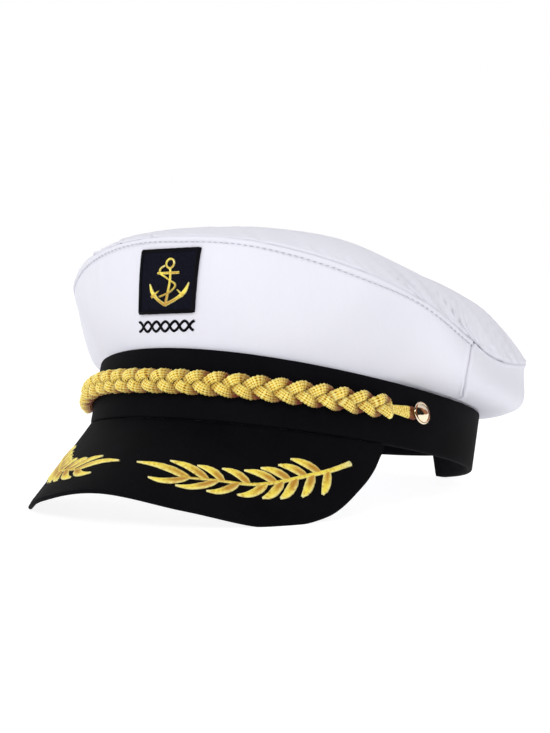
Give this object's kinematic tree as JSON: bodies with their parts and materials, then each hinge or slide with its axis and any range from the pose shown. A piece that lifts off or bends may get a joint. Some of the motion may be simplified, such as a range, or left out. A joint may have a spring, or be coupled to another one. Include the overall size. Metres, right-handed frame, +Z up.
{
  "type": "captain hat",
  "caption": "Captain's hat with a soft white crown, black band and peak, plaited gold cord held by gilt buttons, anchor patch and laurel embroidery.",
  "frame": {"origin": "middle of the hat's box in plan, on the surface that the hat rests on", "axes": "+Z is up, the hat's front faces -Y, and the wearer's left is +X"},
  "size_m": [0.1884, 0.282, 0.1222],
  "materials": {
    "white_cloth": "fine plain-weave cotton, matt",
    "black_twill": "fine black twill, matt",
    "navy_cloth": "navy twill patch with a satin-stitched black border",
    "gold_thread": "yellow-gold satin stitch, silky",
    "gold_cord": "metallic gold twisted cord",
    "black_thread": "black satin stitch",
    "gilt": "polished gilt"
  },
  "bodies": {
    "root": {"band": "black_twill", "peak": "black_twill", "crown_side_front": "white_cloth", "crown_side_rear": "white_cloth", "crown_top": "white_cloth", "patch": "navy_cloth", "anchor": "gold_thread", "rope_line": "black_thread", "laurel_left": "gold_thread", "laurel_right": "gold_thread", "cord_strand_1": "gold_cord", "cord_strand_2": "gold_cord", "cord_strand_3": "gold_cord", "button_left": "gilt", "button_right": "gilt"}
  },
  "joints": []
}
